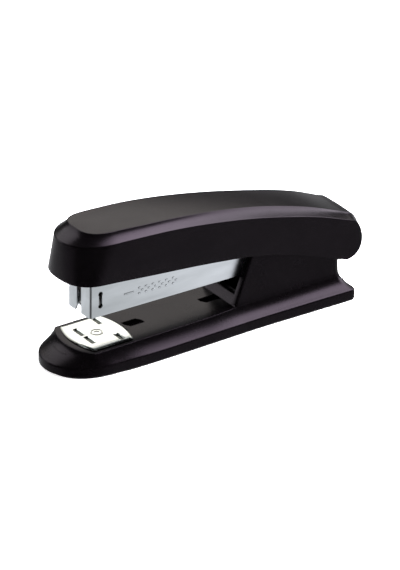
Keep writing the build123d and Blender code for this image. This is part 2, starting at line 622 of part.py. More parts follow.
def handle_bevels(roof):
    """Long block whose cross-section is the top face and its two side bevels."""
    slope = HANDLE_BEVEL_DROP / HANDLE_BEVEL_INSET
    sections = []
    for station, half in HANDLE_HALF_TOP:
        height = handle_top(station) - roof
        drop = 8 * slope
        points = [(-half, height), (half, height), (half + 8, height - drop), (half + 8, 5), (-half - 8, 5),
                  (-half - 8, height - drop)]
        plane = Plane(origin=(station, 0, 0), x_dir=(0, 1, 0), z_dir=(1, 0, 0))
        sections.append(plane * make_face(Polyline(*points, close=True)))
    return loft(sections)


def handle_top(station):
    """Height of the top face at a station."""
    points = HANDLE_TOP_LINE
    if station <= points[0][0]:
        return points[0][1]
    for (x0, z0), (x1, z1) in zip(points, points[1:]):
        if station <= x1:
            return z0 + (z1 - z0) * (station - x0) / (x1 - x0)
    return points[-1][1] - (station - points[-1][0]) * 0.37


def handle_body(inset, roof, drop_low):
    """Solid inside the handle's skin, moved in by the given amounts."""
    draft = HANDLE_FRONT_TOP - HANDLE_FRONT_LOW
    tall = extrude(handle_plan(inset), amount=60)
    lean = side_plate([(HANDLE_FRONT_LOW + inset, 38.6), (HANDLE_FRONT_LOW + inset + draft * 1.3, 57.5),
                       (200, 60), (200, 0), (HANDLE_FRONT_LOW + inset - draft, 20)], -30, 30)
    return handle_side(inset, roof, drop_low) & handle_bevels(roof) & tall & lean


FRAME_SLOPE = math.radians(6.0)


def frame_top(station):
    """Height of the top of the handle frame's plate at a station."""
    return 46.9 - (station - 20) * math.tan(FRAME_SLOPE)


def handle_cover():
    """Arched black cover, hollow underneath, with two screw bosses."""
    cover = handle_body(0, 0, 0) - handle_body(HANDLE_WALL, HANDLE_ROOF, 6)
    for station in COVER_SCREW_STATIONS:
        boss = post(station, 0, 3.2, frame_top(station), handle_top(station) - HANDLE_ROOF + 0.8)
        boss -= side_plate([(station - 5, 0), (station + 5, 0), (station + 5, frame_top(station + 5)),
                            (station - 5, frame_top(station - 5))], -5, 5)
        cover += boss
        cover -= post(station, 0, SCREW_RADIUS, 0, frame_top(station) + 5)
    return cover


def handle_frame():
    """Steel channel inside the cover: sloping plate, two long sides, rear ears and a front tab."""
    inner = MAGAZINE_HALF + GAP
    outer = inner + SHEET
    plate_under = [(x, frame_top(x) - SHEET) for x in (20, 112)]
    plate = side_plate([(20, frame_top(20)), (112, frame_top(112))] + plate_under[::-1], -outer, outer)
    side = [(20, frame_top(20)), (112, frame_top(112)), (PIN_STATION + 2, PIN_HEIGHT + EAR_RADIUS),
            (PIN_STATION + EAR_RADIUS, PIN_HEIGHT + 1), (PIN_STATION + EAR_RADIUS, PIN_HEIGHT - 2),
            (PIN_STATION + 1, PIN_HEIGHT - EAR_RADIUS), (86.6, EAR_FOOT), (83.0, EAR_FOOT), (87.2, 33.6),
            (40, 38.6), (20, 41.5)]
    frame = plate
    for low in (-outer, inner):
        frame += side_plate(side, low, low + SHEET)
    tab = tilt(blade_plate(BLADE_FRONT + BLADE_THICKNESS + 0.02, SHEET, TAB_LOW, 50))
    tab &= box(0, 30, -20, 20, 0, frame_top(20))
    bridge = box(TAB_STATION, 21, -BLADE_HALF, BLADE_HALF, frame_top(20) - SHEET, frame_top(20))
    frame += bridge + tab
    frame -= cross_pin(PIN_STATION, PIN_HEIGHT, PIN_RADIUS + PIN_CLEARANCE, 20)
    frame -= driver_rivets()
    for station in COVER_SCREW_STATIONS:
        frame -= post(station, 0, SCREW_RADIUS, 30, 60)
    return frame


def blade_plate(front, thickness, low, high):
    """Plate as wide as the blade with the blade's lean, from its front face at the blade's tip."""
    lean = math.tan(math.radians(BLADE_LEAN))
    foot = front + (low - BLADE_TIP) * lean
    head = front + (high - BLADE_TIP) * lean
    outline = [(foot, low), (foot + thickness, low), (head + thickness, high), (head, high)]
    return side_plate(outline, -BLADE_HALF, BLADE_HALF)


def driver_blade():
    """Dark blade that drives the staple out, leaning back to follow its arc."""
    return tilt(blade_plate(BLADE_FRONT, BLADE_THICKNESS, BLADE_TIP, BLADE_HEAD)) - driver_rivets()


def driver_rivets():
    """Two rivets through the blade and the frame's front tab."""
    rivets = []
    for side in (-1, 1):
        place = Pos(TAB_STATION - 0.1, side * 3.2, 45.2) * Rot(0, 90 + MAGAZINE_TILT + BLADE_LEAN, 0)
        rivets.append(place * (Cylinder(0.9, 1.6) + Pos(0, 0, -0.95) * Cylinder(1.5, 0.5)))
    return Compound(rivets)


def cover_screws():
    """Screws up through the frame's plate into the cover's bosses."""
    screws = []
    for station in COVER_SCREW_STATIONS:
        seat = frame_top(station) - SHEET
        head = post(station, 0, SCREW_HEAD_RADIUS, seat - SCREW_HEAD_HEIGHT, seat - 0.3)
        screws.append(head + post(station, 0, SCREW_RADIUS, seat - 0.3, seat + SHEET + 4.5))
    return Compound(screws)


NODES = {
    "base_shell": base_shell, "base_frame": base_frame, "sole_pad": sole_pad, "base_screws": base_screws,
    "hinge_pin": hinge_pin, "return_spring": return_spring, "spring_rivets": spring_rivets,
    "anvil_plate": anvil_plate, "anvil_stem": anvil_stem, "anvil_button": anvil_button,
    "anvil_spring": anvil_spring, "magazine_housing": magazine_housing, "staple_rail": staple_rail,
    "staple_strip": staple_strip, "guide_rod": guide_rod, "pusher_spring": pusher_spring,
    "rod_block": rod_block, "block_rivet": block_rivet, "handle_spring": handle_spring,
    "pusher_saddle": pusher_saddle, "pusher_slider": pusher_slider, "handle_cover": handle_cover,
    "handle_frame": handle_frame, "driver_blade": driver_blade, "driver_rivets": driver_rivets,
    "cover_screws": cover_screws,
}

for node_name, make in NODES.items():
    save(node_name, make())
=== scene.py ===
"""Visual model of a desktop stapler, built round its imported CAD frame.

Shapes are worked out in millimetres. Lengths along the stapler are stations; the hinge
pin stands at PIN_STATION, and at() turns station, y and height into the row frame.
"""
import bmesh
import bpy
import math
from mathutils import Matrix, Vector

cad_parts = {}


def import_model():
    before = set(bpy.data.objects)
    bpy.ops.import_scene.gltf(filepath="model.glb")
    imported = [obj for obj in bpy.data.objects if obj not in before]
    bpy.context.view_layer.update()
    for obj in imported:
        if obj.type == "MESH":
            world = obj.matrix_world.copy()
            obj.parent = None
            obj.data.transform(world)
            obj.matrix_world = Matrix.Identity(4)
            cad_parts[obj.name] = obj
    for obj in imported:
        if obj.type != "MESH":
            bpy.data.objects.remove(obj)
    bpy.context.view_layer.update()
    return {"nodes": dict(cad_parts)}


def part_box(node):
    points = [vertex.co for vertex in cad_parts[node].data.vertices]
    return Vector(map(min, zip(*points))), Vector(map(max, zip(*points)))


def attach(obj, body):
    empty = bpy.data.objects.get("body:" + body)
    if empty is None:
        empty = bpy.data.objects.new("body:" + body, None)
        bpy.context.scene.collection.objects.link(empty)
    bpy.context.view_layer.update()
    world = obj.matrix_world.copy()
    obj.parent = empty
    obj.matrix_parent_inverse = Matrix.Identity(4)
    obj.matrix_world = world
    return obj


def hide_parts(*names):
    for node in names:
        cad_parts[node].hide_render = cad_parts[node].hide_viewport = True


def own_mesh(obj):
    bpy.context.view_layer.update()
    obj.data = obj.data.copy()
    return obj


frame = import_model()

MM = 0.001
PIN_STATION = 119.0
PIN_LOW, PIN_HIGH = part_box("hinge_pin")
DATUM = (PIN_LOW.x + PIN_HIGH.x) / 2 - PIN_STATION * MM
PIN = Vector((PIN_STATION, 0, (PIN_LOW.z + PIN_HIGH.z) / 2 / MM))
MAGAZINE_TILT = math.radians(0.8)     # nose up about the hinge pin
SHARP = math.radians(32)              # edges that turn more than this stay sharp
JOIN = 0.004 * MM                     # points nearer than this are one point
TINY = 1e-3                           # slack in millimetres when stations are compared


# ---- places and small geometry --------------------------------------------------------

def at(station, y, z):
    """Row-frame point of a station, y and height in millimetres."""
    return Vector((DATUM + station * MM, y * MM, z * MM))


def station_of(x):
    """Station in millimetres of a row-frame x."""
    return (x - DATUM) / MM


def low(node):
    """Lowest corner of a CAD node as station, y and height in millimetres."""
    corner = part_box(node)[0]
    return Vector((station_of(corner.x), corner.y / MM, corner.z / MM))


def high(node):
    """Highest corner of a CAD node as station, y and height in millimetres."""
    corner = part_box(node)[1]
    return Vector((station_of(corner.x), corner.y / MM, corner.z / MM))


def tilted(point):
    """A point of the level magazine turned about the hinge pin to its rest angle."""
    dx, dz = point[0] - PIN.x, point[2] - PIN.z
    sin, cos = math.sin(MAGAZINE_TILT), math.cos(MAGAZINE_TILT)
    return Vector((PIN.x + dx * cos + dz * sin, point[1], PIN.z - dx * sin + dz * cos))


def mix(a, b, t):
    """Value or vector a share t of the way from a to b."""
    return a + (b - a) * t


def smooth_step(x, start, end):
    """0 before start, 1 after end, eased between them."""
    t = min(1.0, max(0.0, (x - start) / (end - start)))
    return t * t * (3 - 2 * t)


def curve(points):
    """Smooth function through a few points, straight beyond its ends."""
    xs = [p[0] for p in points]
    ys = [p[1] for p in points]
    chords = [(ys[i + 1] - ys[i]) / (xs[i + 1] - xs[i]) for i in range(len(xs) - 1)]
    slopes = [chords[0]]
    for i in range(1, len(chords)):
        before, after = xs[i] - xs[i - 1], xs[i + 1] - xs[i]
        slopes.append((chords[i - 1] * after + chords[i] * before) / (before + after))
    slopes.append(chords[-1])

    def value(x):
        if x <= xs[0]:
            return ys[0] + slopes[0] * (x - xs[0])
        if x >= xs[-1]:
            return ys[-1] + slopes[-1] * (x - xs[-1])
        i = max(k for k in range(len(xs) - 1) if xs[k] <= x)
        step = xs[i + 1] - xs[i]
        t = (x - xs[i]) / step
        rise = ys[i + 1] - ys[i]
        a = slopes[i] * step - rise
        b = rise - slopes[i + 1] * step
        return mix(ys[i], ys[i + 1], t) + t * (1 - t) * (a * (1 - t) + b * t)

    return value


def circle(count):
    """Angles of evenly spaced points round a circle."""
    return [2 * math.pi * k / count for k in range(count)]


def super_ellipse(tip, reach, half, power, angle):
    """Station and y of a blunt nose outline, from its tip at 0 to its side at 90 degrees."""
    station = tip + reach * (1 - max(0.0, math.cos(angle)) ** (2 / power))
    return station, half * math.sin(angle) ** (2 / power)


def rounded(path, radii, steps=4):
    """Path of vectors with each inner corner rounded; every corner gives steps + 1 points."""
    made = [path[0]]
    for i in range(1, len(path) - 1):
        corner = path[i]
        if radii[i] == 0:
            made.append(corner)
            continue
        before, after = path[i - 1] - corner, path[i + 1] - corner
        room = 0.45 * min(before.length, after.length)
        angle = before.angle(after, math.pi)
        reach = min(room, radii[i] / math.tan(max(angle, 0.2) / 2) if angle < 3.1 else radii[i])
        start = corner + before.normalized() * reach
        end = corner + after.normalized() * reach
        for k in range(steps + 1):
            t = k / steps
            made.append(mix(mix(start, corner, t), mix(corner, end, t), t))
    made.append(path[-1])
    return made


# ---- meshes ---------------------------------------------------------------------------

class Builder:
    """Collects points in millimetres and faces, then makes one object."""

    def __init__(self):
        self.points = []
        self.faces = []

    def row(self, points):
        """Adds a row of points and returns their numbers."""
        first = len(self.points)
        self.points += [Vector(p) for p in points]
        return list(range(first, len(self.points)))

    def strip(self, a, b):
        """Quads between two rows of the same length."""
        for i in range(len(a) - 1):
            self.faces.append((a[i], a[i + 1], b[i + 1], b[i]))

    def face(self, loop):
        """One face on numbered points."""
        self.faces.append(tuple(loop))

    def skin(self, rings):
        """Closes a tube over rings of equal length, with a face on each end."""
        for a, b in zip(rings, rings[1:]):
            self.strip(a + a[:1], b + b[:1])
        self.face(reversed(rings[0]))
        self.face(rings[-1])

    def mirror(self):
        """Adds the same shape on the other side of y = 0."""
        count = len(self.points)
        self.points += [Vector((p.x, -p.y, p.z)) for p in self.points]
        self.faces += [tuple(i + count for i in reversed(f)) for f in self.faces]

    def tube(self, path, radius, sides=8):
        """Round wire along a path of vectors."""
        rings = []
        normal = None
        count = len(path)
        for i, p in enumerate(path):
            before = path[max(0, i - 1)]
            after = path[min(count - 1, i + 1)]
            along = (after - before).normalized()
            if normal is None:
                normal = along.orthogonal().normalized()
            normal = (normal - along * normal.dot(along)).normalized()
            side = along.cross(normal)
            ring = [p + (normal * math.cos(t) + side * math.sin(t)) * radius for t in circle(sides)]
            rings.append(self.row(ring))
        self.skin(rings)

    def lathe(self, centre, axis, profile, sides=32):
        """Solid of revolution; profile is (distance along the axis, radius) pairs."""
        axis = Vector(axis).normalized()
        across = axis.orthogonal().normalized()
        side = axis.cross(across)
        rings = []
        for along, radius in profile:
            middle = Vector(centre) + axis * along
            ring = [middle + (across * math.cos(t) + side * math.sin(t)) * radius for t in circle(sides)]
            rings.append(self.row(ring))
        self.skin(rings)

    def make(self, name, body, slot, replaced=()):
        """One smooth-shaded object that rides on a body and may stand for CAD nodes."""
        mesh = bpy.data.meshes.new(name)
        mesh.from_pydata([at(*p) for p in self.points], [], self.faces)
        mesh.validate()
        obj = bpy.data.objects.new(name, mesh)
        bpy.context.scene.collection.objects.link(obj)
        tidy(mesh)
        mesh.materials.append(MATERIALS[slot])
        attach(obj, body)
        if replaced:
            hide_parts(*replaced)
        return obj


def tidy(mesh):
    """Joins points that meet, turns every face outwards and smooths all but sharp edges."""
    work = bmesh.new()
    work.from_mesh(mesh)
    bmesh.ops.remove_doubles(work, verts=work.verts, dist=JOIN)
    bmesh.ops.dissolve_degenerate(work, edges=work.edges, dist=JOIN / 2)
    bmesh.ops.recalc_face_normals(work, faces=work.faces)
    for f in work.faces:
        f.smooth = True
    work.to_mesh(mesh)
    work.free()
    mesh.set_sharp_from_angle(angle=SHARP)


def coil_path(centre, axis, radius, length, turns, per_turn=16):
    """Helix along an axis, starting at centre."""
    axis = Vector(axis).normalized()
    across = axis.orthogonal().normalized()
    side = axis.cross(across)
    count = int(turns * per_turn)
    path = []
    for i in range(count + 1):
        angle = 2 * math.pi * i / per_turn
        path.append(Vector(centre) + axis * (length * i / count)
                    + (across * math.cos(angle) + side * math.sin(angle)) * radius)
    return path


# ---- materials ------------------------------------------------------------------------

def map_range(tree, value, source, target):
    """Value in the source range, mapped to the target range and held inside it."""
    node = tree.nodes.new("ShaderNodeMapRange")
    node.inputs["From Min"].default_value, node.inputs["From Max"].default_value = source
    node.inputs["To Min"].default_value, node.inputs["To Max"].default_value = target
    tree.links.new(value, node.inputs["Value"])
    return node.outputs["Result"]


class Finish:
    """A Principled material with procedural colour, roughness and bump."""

    def __init__(self, name, colour, roughness, metallic=0.0, specular=0.5, tint=(1, 1, 1)):
        self.material = bpy.data.materials.new(name)
        self.material.use_nodes = True
        self.tree = self.material.node_tree
        self.nodes = self.tree.nodes
        self.links = self.tree.links
        self.shader = self.nodes["Principled BSDF"]
        self.shader.inputs["Base Color"].default_value = (*colour, 1)
        self.shader.inputs["Roughness"].default_value = roughness
        self.shader.inputs["Metallic"].default_value = metallic
        self.shader.inputs["Specular IOR Level"].default_value = specular
        self.shader.inputs["Specular Tint"].default_value = (*tint, 1)
        self.place = self.nodes.new("ShaderNodeTexCoord")
        self.normal = None

    def noise(self, size, detail=3.0, stretch=(1, 1, 1)):
        """Noise whose features are size millimetres across, longer by stretch along each axis."""
        mapping = self.nodes.new("ShaderNodeMapping")
        mapping.inputs["Scale"].default_value = [1 / (size * MM * s) for s in stretch]
        self.links.new(self.place.outputs["Object"], mapping.inputs["Vector"])
        texture = self.nodes.new("ShaderNodeTexNoise")
        texture.inputs["Scale"].default_value = 1.0
        texture.inputs["Detail"].default_value = detail
        self.links.new(mapping.outputs["Vector"], texture.inputs["Vector"])
        return texture.outputs["Fac"]

    def share(self, axis):
        """Share of the way across the piece's own box along X, Y or Z."""
        parts = self.nodes.new("ShaderNodeSeparateXYZ")
        self.links.new(self.place.outputs["Generated"], parts.inputs["Vector"])
        return parts.outputs[axis]

    def colours(self, value, first, second, start=0.3, end=0.7):
        """Base colour between two colours."""
        ramp = self.nodes.new("ShaderNodeValToRGB")
        ramp.color_ramp.elements[0].position = start
        ramp.color_ramp.elements[0].color = (*first, 1)
        ramp.color_ramp.elements[1].position = end
        ramp.color_ramp.elements[1].color = (*second, 1)
        self.links.new(value, ramp.inputs["Fac"])
        self.links.new(ramp.outputs["Color"], self.shader.inputs["Base Color"])

    def roughness(self, value, smoothest, roughest):
        """Roughness between two values."""
        self.links.new(map_range(self.tree, value, (0.3, 0.7), (smoothest, roughest)),
                       self.shader.inputs["Roughness"])

    def bump(self, value, height, strength=1.0):
        """Bump of a height in millimetres, laid over any earlier one."""
        node = self.nodes.new("ShaderNodeBump")
        node.inputs["Distance"].default_value = height * MM
        node.inputs["Strength"].default_value = strength
        self.links.new(value, node.inputs["Height"])
        if self.normal:
            self.links.new(self.normal, node.inputs["Normal"])
        self.normal = node.outputs["Normal"]
        self.links.new(self.normal, self.shader.inputs["Normal"])


def moulded_black(name, specular, rough_low, rough_high):
    """Satin black plastic with fine moulded grain and faint cloudiness."""
    finish = Finish(name, (0.0018, 0.0015, 0.0018), 0.3, specular=specular, tint=(1.0, 0.8, 1.0))
    finish.colours(finish.noise(9, 4), (0.0016, 0.0013, 0.0016), (0.0024, 0.002, 0.0023))
    finish.roughness(finish.noise(6, 5), rough_low, rough_high)
    finish.bump(finish.noise(0.35, 2), 0.008, 0.2)
    return finish.material


def rubber():
    """Matt black rubber with a coarse skin."""
    finish = Finish("sole_rubber_finish", (0.008, 0.008, 0.008), 0.8, specular=0.3)
    finish.colours(finish.noise(3, 4), (0.005, 0.005, 0.005), (0.012, 0.012, 0.011))
    finish.roughness(finish.noise(2, 4), 0.7, 0.9)
    finish.bump(finish.noise(0.5, 3), 0.06, 0.6)
    return finish.material


def sheet_metal(name, first, second, rough_low, rough_high, along=(60, 1, 1)):
    """Rolled or plated metal with streaks along one axis, cloudy tone and a faint waviness."""
    finish = Finish(name, first, rough_low, metallic=1.0)
    finish.colours(finish.noise(1.1, 5, along), first, second)
    finish.roughness(finish.noise(2.2, 5, (10, 1, 1)), rough_low, rough_high)
    finish.bump(finish.noise(0.25, 3, along), 0.004, 0.5)
    finish.bump(finish.noise(7, 3), 0.05, 0.3)
    return finish.material


def magazine_steel():
    """Nickel-plated sheet, cloudy and streaked, with a painted sheen that lightens it towards its rear end.
    """
    finish = Finish("magazine_steel_finish", (0.7, 0.73, 0.77), 0.32, metallic=1.0)
    # cloudiness from noise plus a painted sheen that rises along the piece towards its rear end
    cloudy = finish.nodes.new("ShaderNodeMath")
    cloudy.operation = "MULTIPLY_ADD"
    finish.links.new(finish.noise(5, 4, (5, 1, 1)), cloudy.inputs[0])
    cloudy.inputs[1].default_value = 0.8
    finish.links.new(finish.share("X"), cloudy.inputs[2])
    brighter = map_range(finish.tree, cloudy.outputs["Value"], (0.3, 1.2), (0.0, 1.0))
    finish.colours(brighter, (0.54, 0.57, 0.585), (0.88, 0.915, 0.96), start=0.0, end=1.0)
    finish.roughness(finish.noise(2.2, 5, (10, 1, 1)), 0.28, 0.36)
    finish.bump(finish.noise(0.25, 3, (60, 1, 1)), 0.003, 0.4)
    return finish.material


def chrome():
    """Bright plate on the anvil's face, with painted shade: darker towards the bottom of each piece's box,
    down to near black in the plate's grooves.
    """
    finish = Finish("bright_chrome_finish", (0.5, 0.52, 0.5), 0.12, metallic=1.0)
    # painted shade: base colour runs from near black low in the piece's box to bright at its top, which
    # darkens the grooves
    finish.colours(finish.share("Z"), (0.02, 0.024, 0.02), (0.47, 0.49, 0.47), start=0.45, end=0.97)
    finish.roughness(finish.noise(3, 5), 0.1, 0.16)
    finish.bump(finish.noise(0.3, 4, (1, 12, 1)), 0.002, 0.3)
    return finish.material


def black_steel(name, colour, rough_low, rough_high):
    """Steel with a dark baked or phosphate coat."""
    finish = Finish(name, colour, 0.4, metallic=0.3, specular=0.25)
    darker = tuple(0.6 * c for c in colour)
    finish.colours(finish.noise(4, 5), darker, colour)
    finish.roughness(finish.noise(3, 5), rough_low, rough_high)
    finish.bump(finish.noise(0.3, 3), 0.01, 0.4)
    return finish.material


MATERIALS = {
    "black_cover": moulded_black("black_cover_finish", 0.085, 0.24, 0.27),
    "black_shell": moulded_black("black_shell_finish", 0.07, 0.25, 0.28),
    "button_plastic": moulded_black("button_plastic_finish", 0.2, 0.35, 0.45),
    "slider_plastic": moulded_black("slider_plastic_finish", 0.25, 0.4, 0.5),
    "sole_rubber": rubber(),
    "bright_chrome": chrome(),
    "magazine_steel": magazine_steel(),
    "rail_steel": sheet_metal("rail_steel_finish", (0.5, 0.51, 0.52), (0.62, 0.63, 0.63), 0.3, 0.42),
    "staple_steel": sheet_metal("staple_steel_finish", (0.6, 0.61, 0.62), (0.75, 0.75, 0.75), 0.2, 0.32,
                                along=(1, 8, 8)),
    "black_steel": black_steel("black_steel_finish", (0.01, 0.01, 0.011), 0.35, 0.5),
    "blade_steel": black_steel("blade_steel_finish", (0.05, 0.048, 0.046), 0.3, 0.45),
    "pin_steel": sheet_metal("pin_steel_finish", (0.55, 0.55, 0.54), (0.66, 0.66, 0.64), 0.2, 0.35,
                             along=(1, 20, 1)),
    "spring_steel": sheet_metal("spring_steel_finish", (0.34, 0.34, 0.35), (0.5, 0.5, 0.5), 0.22, 0.34,
                                along=(4, 4, 4)),
    "screw_steel": sheet_metal("screw_steel_finish", (0.5, 0.5, 0.46), (0.64, 0.63, 0.58), 0.25, 0.4,
                               along=(2, 2, 2)),
}


# ---- handle cover ---------------------------------------------------------------------

WALL = 1.4                             # thickness of the cover's walls
ROOF = 2.0                             # thickness under its top
CREASE_NOSE = (12.5, 14.0, 3.3)        # outlines at the nose: tip station, reach back and squareness
RIM_NOSE = (5.7, 18.2, 2.15)
FOOT_NOSE = (4.2, 13.0, 2.45)
CREASE_START = CREASE_NOSE[0] + CREASE_NOSE[1]                    # the sides start at these stations
RIM_START = RIM_NOSE[0] + RIM_NOSE[1]
FOOT_START = FOOT_NOSE[0] + FOOT_NOSE[1]
SPINE_TIP, SPINE_START = 19.0, 28.0    # sections fan out from this stretch of the middle line
FOOT_REAR = 125.5                      # the lower edge's long curve ends here
FOOT_END = 129.0                       # the lower edge ends here, under the round end
CREASE_REAR, RIM_REAR = 132.0, 131.5   # half-widths of the round end are read here
REAR_CENTRE = Vector((high("handle_cover").x - 9.0, 0, 24.6))     # of the round rear end in side view
REAR_TOP_ANGLE = math.radians(70)
REAR_LIP_ANGLE = math.radians(-47)     # the end wall stops here; the sides go on
REAR_LOW_ANGLE = math.radians(-93)
TOP_REAR = 131.7                       # the top's long curve ends here and the round end starts
CROWN = 0.2                            # rise of the top face along its middle
LIP_SHARE = 0.72                       # share of the rear sections down to the lip
BOSS_OUTSET = 2.6                      # a boss's centre from the end of the row of screws
COVER_NOSE_ROWS = 34
COVER_SIDE_ROWS = 72
COVER_REAR_ROWS = 30

cover_top = curve([(6, 57.3), (28, 56.3), (52, 54.3), (76, 50.6), (100, 45.1), (118, 39.6),
                   (TOP_REAR, 34.0)])
cover_low = curve([(4, 37.7), (14.6, 37.3), (41.8, 34.9), (69.4, 31.9), (88, 29.1), (106.8, 23.9),
                   (116, 20.6), (124.6, 17.2), (129, 15.9)])
cover_drop = curve([(12.5, 3.9), (26, 3.3), (75, 2.65), (115, 2.2), (TOP_REAR, 1.65)])
half_crease = curve([(26.5, 10.6), (36, 10.85), (52, 10.4), (76, 9.2), (94, 8.5), (112, 8.9), (124, 9.2),
                     (132, 8.9)])
rear_rim = curve([(-93, 8.8), (-73, 8.75), (-54, 8.5), (-34, 7.95), (-9, 7.35), (12, 7.1), (36, 7.4),
                  (60, 8.0), (70, 8.25)])       # radius of the round end by angle in degrees
half_rim = curve([(23.9, 14.4), (32, 14.6), (60, 14.2), (96, 13.65), (131.5, 13.7)])
half_foot = curve([(17.2, 14.65), (30, 14.75), (60, 14.3), (96, 13.7), (129, 13.75)])


def cove(share):
    """Drop of the hollow bevel for a share of its width, from the crease to the rim."""
    return share ** 0.75


def cover_section(spine, crease, rim, foot, inward, centre=None):
    """Row of points from the outer spine over the crease, rim and lower lip to the inner spine.

    A centre makes it a section of the round end, which stands radially about that centre.
    """
    round_end = centre is not None
    bevel, top = [], []
    for f in (0.12, 0.3, 0.5, 0.72, 0.9):
        hollow = cove(f)
        bevel.append(Vector((mix(crease.x, rim.x, hollow if round_end else f), mix(crease.y, rim.y, f),
                             mix(crease.z, rim.z, hollow))))
    for t in (0.35, 0.7, 0.94):
        if round_end:
            edge = Vector((crease.x, 0, crease.z))
            top.append(mix(edge, spine, 1 - t ** 2) + Vector((0, crease.y * t, 0)))
        else:
            x = mix(spine.x, crease.x, t)
            top.append(Vector((x, mix(spine.y, crease.y, t), cover_top(x) + CROWN * (1 - t ** 2))))
    middle = [mix(rim, foot, t) for t in (0.2, 0.6)]
    inner_foot = foot + inward * WALL
    if round_end:
        inner_spine = spine + (centre - spine).normalized() * (ROOF - 0.3)
        inner_crease = Vector((inner_spine.x, crease.y - 0.7, inner_spine.z))
        toward = (centre - Vector((rim.x, 0, rim.z))).normalized()
        inner_rim = rim + Vector((0, -WALL, 0)) + toward * 0.9
    else:
        inner_rim = rim + inward * WALL + Vector((0, 0, -0.6))
        inner_crease = crease + inward * 0.7 + Vector((0, 0, -ROOF))
        inner_spine = spine + Vector((0, 0, -ROOF))
    path = [spine, *top, crease, *bevel, rim, *middle, foot, inner_foot, inner_rim, inner_crease, inner_spine]
    radii = [0, 0, 0, 0, 0.3, 0, 0, 0, 0, 0, 0.9, 0, 0, 0.5, 0.35, 0.8, 0.8, 0]
    return rounded(path, radii)


def handle_rows():
    """Sections of the cover from the nose centre round to the start of the round end."""
    rows = []
    for i in range(COVER_NOSE_ROWS + 1):
        angle = math.pi / 2 * i / COVER_NOSE_ROWS
        outlines = []
        for (tip, reach, power), half in ((CREASE_NOSE, half_crease), (RIM_NOSE, half_rim),
                                          (FOOT_NOSE, half_foot)):
            outlines.append(Vector((*super_ellipse(tip, reach, half(tip + reach), power, angle), 0)))
        spine = Vector((mix(SPINE_TIP, SPINE_START, i / COVER_NOSE_ROWS), 0, 0))
        rows.append((spine, *outlines))
    for i in range(1, COVER_SIDE_ROWS + 1):
        t = i / COVER_SIDE_ROWS
        outlines = []
        for start, end, half in ((CREASE_START, TOP_REAR, half_crease), (RIM_START, TOP_REAR - 0.4, half_rim),
                                 (FOOT_START, FOOT_REAR, half_foot)):
            x = mix(start, end, t)
            outlines.append(Vector((x, half(x), 0)))
        spine = Vector((mix(SPINE_START, TOP_REAR + 0.06, t), 0, 0))
        rows.append((spine, *outlines))
    sections = []
    for spine, crease, rim, foot in rows:
        spine.z = cover_top(spine.x) + CROWN
        crease.z = cover_top(crease.x)
        rim.z = crease.z - cover_drop(crease.x)
        foot.z = cover_low(foot.x)
        inward = Vector((spine.x - rim.x, spine.y - rim.y, 0)).normalized()
        if crease.x > CREASE_START:
            inward = Vector((0, -1, 0))
        sections.append(cover_section(spine, crease, rim, foot, inward))
    return sections


def rear_sections():
    """Sections round the rear end, each with its angle."""
    made = []
    half = half_rim(RIM_REAR)
    for i in range(1, COVER_REAR_ROWS + 1):
        t = i / COVER_REAR_ROWS
        if t <= LIP_SHARE:
            angle = mix(REAR_TOP_ANGLE, REAR_LIP_ANGLE, t / LIP_SHARE)
        else:
            angle = mix(REAR_LIP_ANGLE, REAR_LOW_ANGLE, (t - LIP_SHARE) / (1 - LIP_SHARE))
        out = Vector((math.cos(angle), 0, math.sin(angle)))
        fade = smooth_step(-angle, math.radians(-5), -REAR_LIP_ANGLE)
        reach = rear_rim(math.degrees(angle))
        crease = REAR_CENTRE + out * (reach + mix(1.75, 0.35, fade))
        spine = crease + out * CROWN
        crease.y = mix(half_crease(CREASE_REAR), half - WALL, fade)
        rim = REAR_CENTRE + out * reach + Vector((0, half, 0))
        x = mix(FOOT_REAR, FOOT_END, t)
        foot = Vector((x, half_foot(x), cover_low(x)))
        section = cover_section(spine, crease, rim, foot, Vector((0, -1, 0)), REAR_CENTRE)
        made.append((angle, section))
    return made


def handle_cover():
    """Arched cover: flat top, hollow bevel, drafted nose, round rear end and walls inside."""
    cover = Builder()
    rows = [cover.row(s) for s in handle_rows()]
    for a, b in zip(rows, rows[1:]):
        cover.strip(a, b)
    side_at = 6                        # place in a section where the bevel starts, below the crease
    last = rows[-1]
    short = None
    for angle, section in rear_sections():
        if angle >= REAR_LIP_ANGLE - 1e-6:
            row = cover.row(section)
            cover.strip(last, row)
            last = row
            continue
        row = cover.row(section[side_at:-6] + [section[side_at]])
        if short is None:
            cover.strip(last[side_at:-5], row)
            cover.face(last[:side_at + 1] + last[-6:])
        else:
            cover.strip(short, row)
        short = row
    cover.face(short[:-1])
    cover.mirror()
    for station in (low("cover_screws").x + BOSS_OUTSET, high("cover_screws").x - BOSS_OUTSET):
        bottom, top = frame_plate_height(station), cover_top(station) - ROOF + 0.5
        cover.lathe((station, 0, bottom), (0, 0, 1),
                    [(0.15, 1.5), (0.0, 1.6), (0.0, 2.9), (0.25, 3.2), (top - bottom, 3.35)])
    cover.make("handle_cover_skin", "handle", "black_cover", ["handle_cover"])


def frame_plate_height(station):
    """Height of the top of the handle frame's sloping plate."""
    return high("handle_frame").z - (station - 20.0) * math.tan(math.radians(6.0))


# ---- base shell -----------------------------------------------------------------------

